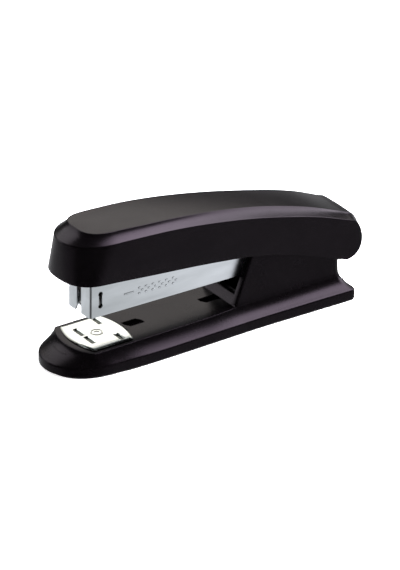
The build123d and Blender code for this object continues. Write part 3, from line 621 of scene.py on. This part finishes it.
SKIRT_BOTTOM = low("base_shell").z
SKIRT_TOP = 4.2                        # the bevel starts here
DECK = 9.0
DECK_UNDER = 7.0
FLARE_TOP = 12.3                       # the pedestal's foot flare ends here
NECK_HALF = 11.7                       # the pedestal above its flare
NECK_REAR = 127.8
NECK_CORNER = 3.0
BASE_TIP = low("base_shell").x
BASE_NOSE_END = 21.0                   # the nose's round outline ends here
BASE_NOSE_POWER = 2.1
BASE_REAR = high("base_shell").x
REAR_CORNER = 2.2
DECK_TIP = 7.6
DECK_ARC = 27.0                        # radius of the deck's shallow front edge
DECK_TURN = math.radians(72)           # share of the nose's turn that its arc and corner take
DECK_SIDE = 6.0                        # length of its straight side after them
NOSE_INSET, DECK_INSET, PEDESTAL_INSET = 3.6, 4.6, 5.55           # skirt to deck edge
CHEEK_STATION = 77.9                   # the cheeks' leaning front edge at deck height
CHEEK_EDGE = 0.8                       # radius of that edge
CHEEK_TOP = high("base_shell").z
RIM_HALF = 9.0                         # the channel's front rim stands in to here
RIM_DEPTH = 3.0
CHANNEL_HALF = 9.6
CHANNEL_REAR = 125.6
SILL_TOP = 13.1
BASE_WALL = 2.0
BASE_NOSE_ROWS = 36
CORNER_ROWS = 8

half_skirt = curve([(21, 17.4), (38, 18.1), (60, 17.8), (88, 17.25), (110, 17.5), (129, 17.9)])


def cheek_front(height):
    """Station of the cheeks' leaning front edge at a height."""
    return CHEEK_STATION + (height - DECK) * math.tan(math.radians(21.3))


def deck_nose(angle):
    """Deck outline at the nose: a shallow arc, a tight corner and a short straight side."""
    half = half_skirt(BASE_NOSE_END) - NOSE_INSET
    turn = min(1.0, angle / DECK_TURN)
    y = half * math.sin(turn * math.pi / 2) ** 0.909
    arc = DECK_ARC - math.sqrt(DECK_ARC ** 2 - y ** 2)
    corner = 2.5 * (1 - max(0.0, 1 - (y / half) ** 8) ** 0.125)
    straight = max(0.0, angle - DECK_TURN) / (math.pi / 2 - DECK_TURN) * DECK_SIDE
    return DECK_TIP + arc + corner + straight, y


def base_rows():
    """(skirt, deck edge, neck, inner end) plan points from the nose centre to the rear centre."""
    rows = []
    for i in range(BASE_NOSE_ROWS + 1):
        angle = math.pi / 2 * i / BASE_NOSE_ROWS
        skirt = Vector((*super_ellipse(BASE_TIP, BASE_NOSE_END - BASE_TIP, half_skirt(BASE_NOSE_END),
                                       BASE_NOSE_POWER, angle), 0))
        edge = Vector((*deck_nose(angle), 0))
        rows.append((skirt, edge, edge, Vector((mix(14, BASE_NOSE_END, i / BASE_NOSE_ROWS), 0, 0))))
    edge_start = rows[-1][1].x
    stations = [mix(BASE_NOSE_END, CHEEK_STATION, i / 34) for i in range(1, 35)]
    stations += [CHEEK_STATION + d for d in (0.08, 0.25, 0.5, 0.8, 1.4, 2.2, 2.9, 3.1)]
    corner_start = BASE_REAR - REAR_CORNER
    stations += [mix(CHEEK_STATION + 3.1, corner_start, i / 30) for i in range(1, 31)]
    for x in stations:
        skirt = Vector((x, half_skirt(x), 0))
        back = min(1.0, (x - BASE_NOSE_END) / (CHEEK_STATION - BASE_NOSE_END))
        edge_x = mix(x, edge_start, max(0.0, 1 - back * 4))
        ahead = mix(NOSE_INSET, DECK_INSET, smooth_step(x, BASE_NOSE_END, 38))
        inset = mix(ahead, PEDESTAL_INSET, smooth_step(x, 66, 90))
        edge = Vector((edge_x, half_skirt(x) - inset, 0))
        rear = max(0.0, (x - CHEEK_STATION) / (corner_start - CHEEK_STATION))
        neck = Vector((mix(x, NECK_REAR - NECK_CORNER, rear) if x > CHEEK_STATION else x, NECK_HALF, 0))
        rows.append((skirt, edge, neck, Vector((min(neck.x, CHANNEL_REAR), CHANNEL_HALF, 0))))
    half = half_skirt(corner_start)
    for i in range(1, CORNER_ROWS + 1):
        angle = math.pi / 2 * i / CORNER_ROWS
        turn = Vector((math.sin(angle), math.cos(angle), 0))
        skirt = Vector((corner_start, half - REAR_CORNER, 0)) + turn * REAR_CORNER
        neck = Vector((NECK_REAR - NECK_CORNER, NECK_HALF - NECK_CORNER, 0)) + turn * NECK_CORNER
        rows.append((skirt, mix(skirt, neck, 0.9), neck, Vector((CHANNEL_REAR, CHANNEL_HALF, 0))))
    for i in range(1, CORNER_ROWS + 1):
        share = 1 - i / CORNER_ROWS
        skirt = Vector((BASE_REAR, (half - REAR_CORNER) * share, 0))
        neck = Vector((NECK_REAR, (NECK_HALF - NECK_CORNER) * share, 0))
        rows.append((skirt, mix(skirt, neck, 0.9), neck, Vector((CHANNEL_REAR, CHANNEL_HALF * share, 0))))
    return rows


def flare(height):
    """Share of the pedestal's foot flare that is gone at a height."""
    t = min(1.0, (height - SKIRT_TOP) / (FLARE_TOP - SKIRT_TOP))
    return 1 - (1 - t) ** 3.0


def bevel_points(skirt, edge, neck):
    """Hollow bevel from the skirt's top to deck height, turning into the pedestal's flare at the rear."""
    share = smooth_step(skirt.x, 64, 90)
    points = []
    for u in (0.1, 0.24, 0.4, 0.56, 0.72, 0.87, 1.0):
        height = mix(SKIRT_TOP, DECK, u)
        front = mix(skirt, edge, 1 - (1 - u) ** 1.45)
        rear = mix(skirt, neck, flare(height))
        point = mix(front, rear, share)
        points.append(Vector((point.x, point.y, height)))
    return points


def lean(x, height):
    """Station of a cheek point at a height, for its station at deck height."""
    fixed = NECK_REAR - NECK_CORNER
    if x >= fixed:
        return x
    return mix(cheek_front(height), fixed, (x - CHEEK_STATION) / (fixed - CHEEK_STATION))


def cheek_half(behind):
    """Half-width of the neck, with its front corner rounded, a distance behind the front edge."""
    if behind >= CHEEK_EDGE:
        return NECK_HALF
    return NECK_HALF - CHEEK_EDGE + math.sqrt(max(0.0, CHEEK_EDGE ** 2 - (CHEEK_EDGE - behind) ** 2))


def cheek_point(skirt, neck, height):
    """Point of the pedestal's outer face at a height above the deck."""
    plan = mix(skirt, neck, flare(height))
    if neck.x >= NECK_REAR - NECK_CORNER - TINY:
        return Vector((plan.x, plan.y, height))
    x = lean(plan.x, height)
    trim = NECK_HALF - cheek_half(x - cheek_front(height))
    return Vector((x, plan.y - trim, height))


cheek_line = curve([(77, 31), (112, 31), (118, 30.8), (123.5, 27.3), (127.4, 21), (128.5, 20.5)])


def base_shell():
    """Hollow moulded base: skirt, bevel, deck, pedestal with two cheeks, and its underside."""
    base = Builder()
    rows = base_rows()
    deck_rows, cheek_rows, outer_rows, under_rows = [], [], [], []
    for skirt, edge, neck, end in rows:
        cheek = skirt.x >= CHEEK_STATION - TINY
        inward = (edge - skirt).normalized()
        if skirt.x > BASE_NOSE_END and neck.y >= NECK_HALF - TINY:
            inward = Vector((0, -1, 0))
        wall = skirt + inward * BASE_WALL
        path = [wall + Vector((0, 0, SKIRT_BOTTOM)), skirt + Vector((0, 0, SKIRT_BOTTOM)),
                skirt + Vector((0, 0, SKIRT_TOP)), *bevel_points(skirt, edge, neck)]
        inside = path[-1] + Vector((0, 0, 0.6)) if cheek else Vector((*mix(path[-1], end, 0.2)[:2], DECK))
        path.append(inside)
        crisp = mix(1.1, 0.35, smooth_step(skirt.x, 2, 14))
        radii = [0, 0.3, 0.9, 0, 0, 0, 0, 0, 0, crisp, 0]
        outer = rounded(path, radii)[:-1]
        outer_rows.append(base.row(outer))
        under = [skirt + inward * 6.4 + Vector((0, 0, DECK_UNDER)),
                 skirt + inward * 3.2 + Vector((0, 0, SKIRT_TOP + 0.6)),
                 wall + Vector((0, 0, SKIRT_TOP - 0.4)), wall + Vector((0, 0, SKIRT_BOTTOM))]
        under_rows.append(base.row(under))
        if skirt.x <= CHEEK_STATION + TINY:
            last = outer[-1]
            centre = Vector((end.x if skirt.x < BASE_NOSE_END else skirt.x, 0, DECK))
            if abs(skirt.x - CHEEK_STATION) < TINY:
                spread = [Vector((skirt.x, y, DECK)) for y in (RIM_HALF, 6.0, 3.0, 0.0)]
            else:
                spread = [mix(Vector((last.x, last.y, DECK)), centre, t) for t in (0.3, 0.55, 0.8, 1.0)]
            spread.append(centre + Vector((0, 0, DECK_UNDER - DECK)))
            deck_rows.append(base.row([last, *spread]))
        if cheek:
            cheek_rows.append(base.row([outer[-1], *cheek_path(skirt, neck, end)]))
    for group in (outer_rows, deck_rows, cheek_rows, under_rows):
        for a, b in zip(group, group[1:]):
            base.strip(a, b)
    split = len(deck_rows) - 1
    for i in range(len(rows) - 1):
        a = deck_rows[i] if i < split else cheek_rows[i - split]
        b = deck_rows[i + 1] if i + 1 <= split else cheek_rows[i + 1 - split]
        base.face((a[-1], b[-1], under_rows[i + 1][0], under_rows[i][0]))
    front, deck = cheek_rows[0], deck_rows[split]
    base.face(front[:-1] + [deck[1]])
    base.face([*deck[1:], front[-1]])
    base.mirror()
    sill(base)
    base.make("base_shell_skin", "base", "black_shell", ["base_shell"])


def cheek_path(skirt, neck, end):
    """Points from the deck's height up a cheek, over its top and down its inner face."""
    top = min(CHEEK_TOP, cheek_line(lean(neck.x, CHEEK_TOP)))
    heights = [9.7, 10.5, FLARE_TOP, 14.0, mix(FLARE_TOP, top, 0.6), top]
    outer = [cheek_point(skirt, neck, h) for h in heights]

    def inner(height):
        x = min(lean(end.x, height), CHANNEL_REAR)
        if end.y < CHANNEL_HALF - TINY:
            return Vector((x, end.y, height))
        rim = x - cheek_front(height) < RIM_DEPTH
        return Vector((x, RIM_HALF if rim else CHANNEL_HALF, height))

    path = [*outer, inner(top), inner(mix(DECK, top, 0.5)), inner(DECK), inner(DECK_UNDER)]
    radii = [0, 0, 0, 0, 0, 0.6, 0.4, 0, 0, 0]
    return rounded(path, radii)


def sill(base):
    """Upright band across the mouth of the channel, between the cheeks' front rims."""
    profile = [(DECK_UNDER + 0.2, 0.0), (SILL_TOP - 0.5, 0.0), (SILL_TOP - 0.12, 0.12), (SILL_TOP, 0.5),
               (SILL_TOP, RIM_DEPTH - 0.4), (SILL_TOP - 0.4, RIM_DEPTH), (DECK_UNDER + 0.2, RIM_DEPTH)]
    loops = []
    for y in (-RIM_HALF - 0.3, RIM_HALF + 0.3):
        loops.append(base.row([(cheek_front(z) + back, y, z) for z, back in profile]))
    a, b = loops
    base.strip(a + a[:1], b + b[:1])
    base.face(a)
    base.face(reversed(b))


# ---- anvil plate ----------------------------------------------------------------------

PLATE_CORNER = 0.9                     # radius of the plate's corners
PLATE_BULGE = 2.7                      # rise of its two long curved edges
PLATE_RIM, PLATE_DROP = 1.4, 0.3       # width and fall of its rounded rim
GROOVE_HALF, GROOVE_DEPTH = 1.15, 0.62
CLOSING_GROOVE = (-5.6, 0.6, 6.95)     # station from the middle, inner end and outer end
PINNING_GROOVE = (5.3, 4.9, 10.6)
RING_RADIUS, RING_WIDTH, RING_DEPTH = 2.15, 0.28, 0.16            # pressed ring round the rivet
RIVET_HOLE, RIVET_DEPTH = 1.85, 0.3
PLATE_ROWS = 150


def anvil_plate():
    """Pressed plate with rounded rim, two pairs of clinching grooves and a ring round the rivet."""
    lowest, highest = low("anvil_plate"), high("anvil_plate")
    middle = (lowest.x + highest.x) / 2
    half = (highest.y - lowest.y) / 2
    bulge = (highest.x - lowest.x) / 2
    radius = (half ** 2 + PLATE_BULGE ** 2) / (2 * PLATE_BULGE)

    def reach(y):
        arc = bulge - radius + math.sqrt(radius ** 2 - y ** 2)
        edge = max(0.0, abs(y) - (half - PLATE_CORNER)) / PLATE_CORNER
        return arc - PLATE_CORNER * (1 - math.sqrt(max(0.0, 1 - edge ** 2)))

    def groove(x, y, station, start, end):
        across = (x - middle - station) / GROOVE_HALF
        along = (abs(y) - (start + end) / 2) / ((end - start) / 2)
        if abs(across) >= 1 or abs(along) >= 1:
            return 0.0
        return GROOVE_DEPTH * (1 - across ** 2) * math.sqrt(1 - along ** 2)

    def height(x, y):
        gap = min(half - abs(y), reach(y) - abs(x - middle))
        z = highest.z
        if gap < PLATE_RIM:
            z -= PLATE_DROP * max(0.0, 1 - gap / PLATE_RIM) ** 1.5
        z -= groove(x, y, *CLOSING_GROOVE) + groove(x, y, *PINNING_GROOVE)
        from_rivet = math.hypot(x - middle, y)
        z -= RING_DEPTH * math.exp(-((from_rivet - RING_RADIUS) / RING_WIDTH) ** 2)
        if from_rivet < RIVET_HOLE:
            z -= RIVET_DEPTH
        return max(z, lowest.z + 0.08)

    plate = Builder()
    rows = []
    for i in range(PLATE_ROWS + 1):
        y = mix(-half, half, i / PLATE_ROWS)
        inner = [middle + reach(y) * mix(-1, 1, k / PLATE_ROWS) for k in range(PLATE_ROWS + 1)]
        row = [(inner[0], y, lowest.z), *((x, y, height(x, y)) for x in inner), (inner[-1], y, lowest.z)]
        rows.append(plate.row(row))
    for a, b in zip(rows, rows[1:]):
        plate.strip(a, b)
        plate.face((a[0], b[0], b[-1], a[-1]))
    plate.face(rows[0])
    plate.face(reversed(rows[-1]))
    plate.make("anvil_plate_skin", "anvil", "bright_chrome", ["anvil_plate"])


# ---- magazine details -----------------------------------------------------------------

STAPLE_WIRE = 0.6
STAPLE_HALF = 6.15                     # leg centre
STAPLE_FRONT = 16.1
STAPLE_COUNT = 60
STAPLE_HEIGHTS = (20.0, 23.0, 26.4)    # foot, middle of the leg and crown centre, level
MARK_HEIGHT = 25.4                     # of the pressed marks' middle line, level


def staples():
    """Strip of staples: one bent wire each, glued side by side."""
    strip = Builder()
    for i in range(STAPLE_COUNT):
        x = STAPLE_FRONT + STAPLE_WIRE * (i + 0.5)
        near = [Vector((x, -STAPLE_HALF, z)) for z in STAPLE_HEIGHTS]
        far = [Vector((x, STAPLE_HALF, z)) for z in reversed(STAPLE_HEIGHTS)]
        path = [*near, Vector((x, 0, STAPLE_HEIGHTS[-1])), *far]
        bent = rounded(path, [0, 0, 0.7, 0, 0.7, 0, 0], steps=3)
        strip.tube([tilted(p) for p in bent], STAPLE_WIRE / 2, sides=6)
    strip.make("staple_strip_wires", "magazine", "staple_steel", ["staple_strip"])


def pill(builder, start, length, height, radius):
    """Low raised bar with round ends, level along the magazine's near side."""
    y = low("magazine_housing").y
    rings = []
    for grow, rise in ((1.0, -0.05), (0.85, 0.05), (0.55, 0.11), (0.25, 0.13)):
        ring = []
        for angle in circle(16):
            x = start + (length if math.cos(angle) > 0 else 0) + math.cos(angle) * radius * grow
            ring.append(tilted((x, y - rise, height + math.sin(angle) * radius * grow)))
        rings.append(builder.row(ring))
    builder.skin(rings)


def pressed_marks():
    """Plain pressed dash and rows of dots on the magazine's side, and a small bar near its top."""
    marks = Builder()
    pill(marks, 29.9, 3.9, MARK_HEIGHT + 0.2, 0.4)
    for i in range(6):
        x = 36.4 + 3.1 * i
        for dx, dz in ((0.0, 1.15), (1.3, 0.0), (0.0, -1.15)):
            pill(marks, x + dx, 0.35, MARK_HEIGHT + dz, 0.48)
    pill(marks, 27.0, 2.6, 32.2, 0.45)
    marks.make("pressed_marks", "magazine", "magazine_steel")


# ---- springs --------------------------------------------------------------------------

def anvil_spring():
    """Coil that pulls the anvil's button down."""
    lowest, highest = low("anvil_spring"), high("anvil_spring")
    wire = 0.25
    centre = ((lowest.x + highest.x) / 2, 0, lowest.z + wire)
    spring = Builder()
    spring.tube(coil_path(centre, (0, 0, 1), 3.2, highest.z - lowest.z - 2 * wire, 4, 20), wire)
    made = spring.make("anvil_spring_coil", "base", "spring_steel", ["anvil_spring"])
    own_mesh(made)


def pusher_spring():
    """Coil between the pusher and the rear block."""
    lowest, highest = low("pusher_spring"), high("pusher_spring")
    start = tilted((lowest.x + 0.25, 0, 22.8))
    axis = Vector((math.cos(MAGAZINE_TILT), 0, -math.sin(MAGAZINE_TILT)))
    length = highest.x - lowest.x - 0.6
    spring = Builder()
    spring.tube(coil_path(start, axis, 1.5, length, 26, 14), 0.225, sides=6)
    made = spring.make("pusher_spring_coil", "magazine", "spring_steel", ["pusher_spring"])
    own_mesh(made)


def leaf_spring():
    """Curved leaf from the base's steel floor up to the magazine's underside."""
    lowest, highest = low("return_spring"), high("return_spring")
    start, end, thick = 86.0, 117.0, 0.6
    line = curve([(start, highest.z - 1.6), (88.6, highest.z - 0.62), (91.5, highest.z - 0.95), (96, 12.6),
                  (100, 6.6), (104, lowest.z), (108, lowest.z), (end, lowest.z)])
    leaf = Builder()
    rows = []
    for i in range(61):
        x = mix(start, end, i / 60)
        slope = Vector((0.1, 0, line(x + 0.05) - line(x - 0.05))).normalized()
        under = Vector((x, 0, max(line(x), lowest.z)))
        upper = under + Vector((-slope.z, 0, slope.x)) * thick
        ring = [(under, lowest.y), (under, highest.y), (upper, highest.y), (upper, lowest.y)]
        rows.append(leaf.row([Vector((p.x, y, p.z)) for p, y in ring]))
    leaf.skin(rows)
    made = leaf.make("return_spring_leaf", "base", "spring_steel", ["return_spring"])
    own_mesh(made)


def torsion_spring():
    """Coil and lower leg on the magazine, upper leg on the handle, round the hinge pin."""
    wire, radius, turns, per_turn = 0.45, 2.9, 6, 20
    half = turns / 2                   # the coil rises 1 mm a turn
    path = []
    for i in range(turns * per_turn + 1):
        angle = 2 * math.pi * i / per_turn
        path.append(PIN + Vector((radius * math.sin(angle), i / per_turn - half, radius * math.cos(angle))))
    coil = Builder()
    coil.tube(path, wire)
    foot = tilted((PIN.x - 2.4, half, PIN.z - radius - 0.8))
    leg = Vector((math.cos(math.radians(19)), 0, math.sin(math.radians(19)))) * 2.2
    coil.tube([foot - leg, foot + leg], wire)
    coil.make("handle_spring_coil", "magazine", "spring_steel", ["handle_spring"])
    upper = Builder()
    root = tilted((PIN.x, -half, PIN.z + radius))
    tip = tilted((PIN.x - 11.8, -half, PIN.z + radius + 2.3))
    upper.tube([root, tip], wire)
    upper.make("handle_spring_leg", "handle", "spring_steel")


# ---- carried-over CAD nodes -----------------------------------------------------------

CARRIED = {
    "base_frame": "black_steel", "sole_pad": "sole_rubber", "base_screws": "screw_steel",
    "hinge_pin": "pin_steel", "spring_rivets": "screw_steel", "anvil_stem": "bright_chrome",
    "anvil_button": "button_plastic",
    "magazine_housing": "magazine_steel", "staple_rail": "rail_steel", "guide_rod": "pin_steel",
    "rod_block": "black_steel", "block_rivet": "pin_steel", "pusher_saddle": "rail_steel",
    "pusher_slider": "slider_plastic", "handle_frame": "black_steel", "driver_blade": "blade_steel",
    "driver_rivets": "screw_steel", "cover_screws": "screw_steel",
}


def finish_carried():
    """Gives each CAD node that stays its procedural material."""
    for node, slot in CARRIED.items():
        obj = frame["nodes"][node]
        obj.data.materials.clear()
        obj.data.materials.append(MATERIALS[slot])


# ---- studio ---------------------------------------------------------------------------

AZIMUTH = math.radians(-34.2)          # the camera's direction from the stapler, as in area_light
ELEVATION = math.radians(27.1)
CAMERA_DISTANCE = 2.2814               # metres
LENS, SENSOR = 378.9, 36


def direction(azimuth, elevation):
    """Unit vector away from the stapler; azimuth 0 points to -y, 90 to +x."""
    return Vector((math.sin(azimuth) * math.cos(elevation), -math.cos(azimuth) * math.cos(elevation),
                   math.sin(elevation)))


def camera():
    """Long lens from the front left, a little above."""
    back = direction(AZIMUTH, ELEVATION)
    right = Vector((math.cos(AZIMUTH), math.sin(AZIMUTH), 0))
    turned = Matrix((right, back.cross(right), back)).transposed().to_quaternion()
    data = bpy.data.cameras.new("camera")
    data.lens = LENS
    data.sensor_width = SENSOR
    data.clip_end = 50
    obj = bpy.data.objects.new("camera", data)
    bpy.context.scene.collection.objects.link(obj)
    aim = at(55.88, -20.26, 28.64)
    obj.matrix_world = Matrix.LocRotScale(aim + back * CAMERA_DISTANCE, turned, None)
    bpy.context.scene.camera = obj


def area_light(name, azimuth, elevation, distance, size, power, colour=(1, 1, 1), height=None):
    """Soft box that faces the stapler; azimuth 0 stands at -y, 90 at +x."""
    out = direction(math.radians(azimuth), math.radians(elevation))
    data = bpy.data.lights.new(name, "AREA")
    data.shape = "RECTANGLE"
    data.size = size
    data.size_y = height or size
    data.energy = power
    data.color = colour
    obj = bpy.data.objects.new(name, data)
    bpy.context.scene.collection.objects.link(obj)
    obj.location = Vector((0, 0, 0.03)) + out * distance
    obj.rotation_mode = "QUATERNION"
    obj.rotation_quaternion = out.to_track_quat("Z", "Y")


def floor():
    """Plain white floor that glows a little, so that it stays pale to the picture's edge."""
    half = 4000
    corners = [at(x, y, 0) for x, y in ((-half, -half), (half, -half), (half, half), (-half, half))]
    mesh = bpy.data.meshes.new("floor")
    mesh.from_pydata(corners, [], [(0, 1, 2, 3)])
    obj = bpy.data.objects.new("floor", mesh)
    bpy.context.scene.collection.objects.link(obj)
    finish = Finish("floor_finish", (0.8, 0.8, 0.8), 0.9, specular=0.0)
    finish.shader.inputs["Emission Color"].default_value = (1, 1, 1, 1)
    finish.shader.inputs["Emission Strength"].default_value = 0.85
    mesh.materials.append(finish.material)
    obj.visible_glossy = False


def world():
    """Studio surround: white low down behind and beside, dark overhead and where the camera stands."""
    surround = bpy.data.worlds.new("studio")
    bpy.context.scene.world = surround
    surround.use_nodes = True
    tree = surround.node_tree
    nodes, links = tree.nodes, tree.links
    looking = nodes.new("ShaderNodeTexCoord").outputs["Generated"]
    toward = nodes.new("ShaderNodeVectorMath")
    toward.operation = "DOT_PRODUCT"
    links.new(looking, toward.inputs[0])
    toward.inputs[1].default_value = direction(AZIMUTH, 0)
    parts = nodes.new("ShaderNodeSeparateXYZ")
    links.new(looking, parts.inputs["Vector"])
    strength = nodes.new("ShaderNodeMath")
    strength.operation = "MULTIPLY"
    links.new(map_range(tree, toward.outputs["Value"], (0.5, 0.76), (1.0, 0.1)), strength.inputs[0])
    links.new(map_range(tree, parts.outputs["Z"], (-0.25, 0.1), (1.0, 0.1)), strength.inputs[1])
    background = nodes["Background"]
    links.new(strength.outputs["Value"], background.inputs["Strength"])
    background.inputs["Color"].default_value = (0.86, 0.87, 0.89, 1)


handle_cover()
base_shell()
anvil_plate()
staples()
pressed_marks()
anvil_spring()
pusher_spring()
leaf_spring()
torsion_spring()
finish_carried()

camera()
world()
floor()
area_light("overhead", 86, 40, 0.9, 0.55, 22, (0.96, 0.93, 1.0), height=1.0)
area_light("flank", 68, 63, 0.9, 0.5, 9, (0.97, 0.93, 1.0))
area_light("back", 146, 31, 1.2, 1.2, 5.0, (1.0, 0.96, 0.9), height=0.5)
area_light("nose", 197, 42, 1.2, 0.6, 5.5)
area_light("left", 222, 5, 1.2, 0.5, 3.0, height=0.4)
bpy.context.scene.view_settings.view_transform = "Standard"
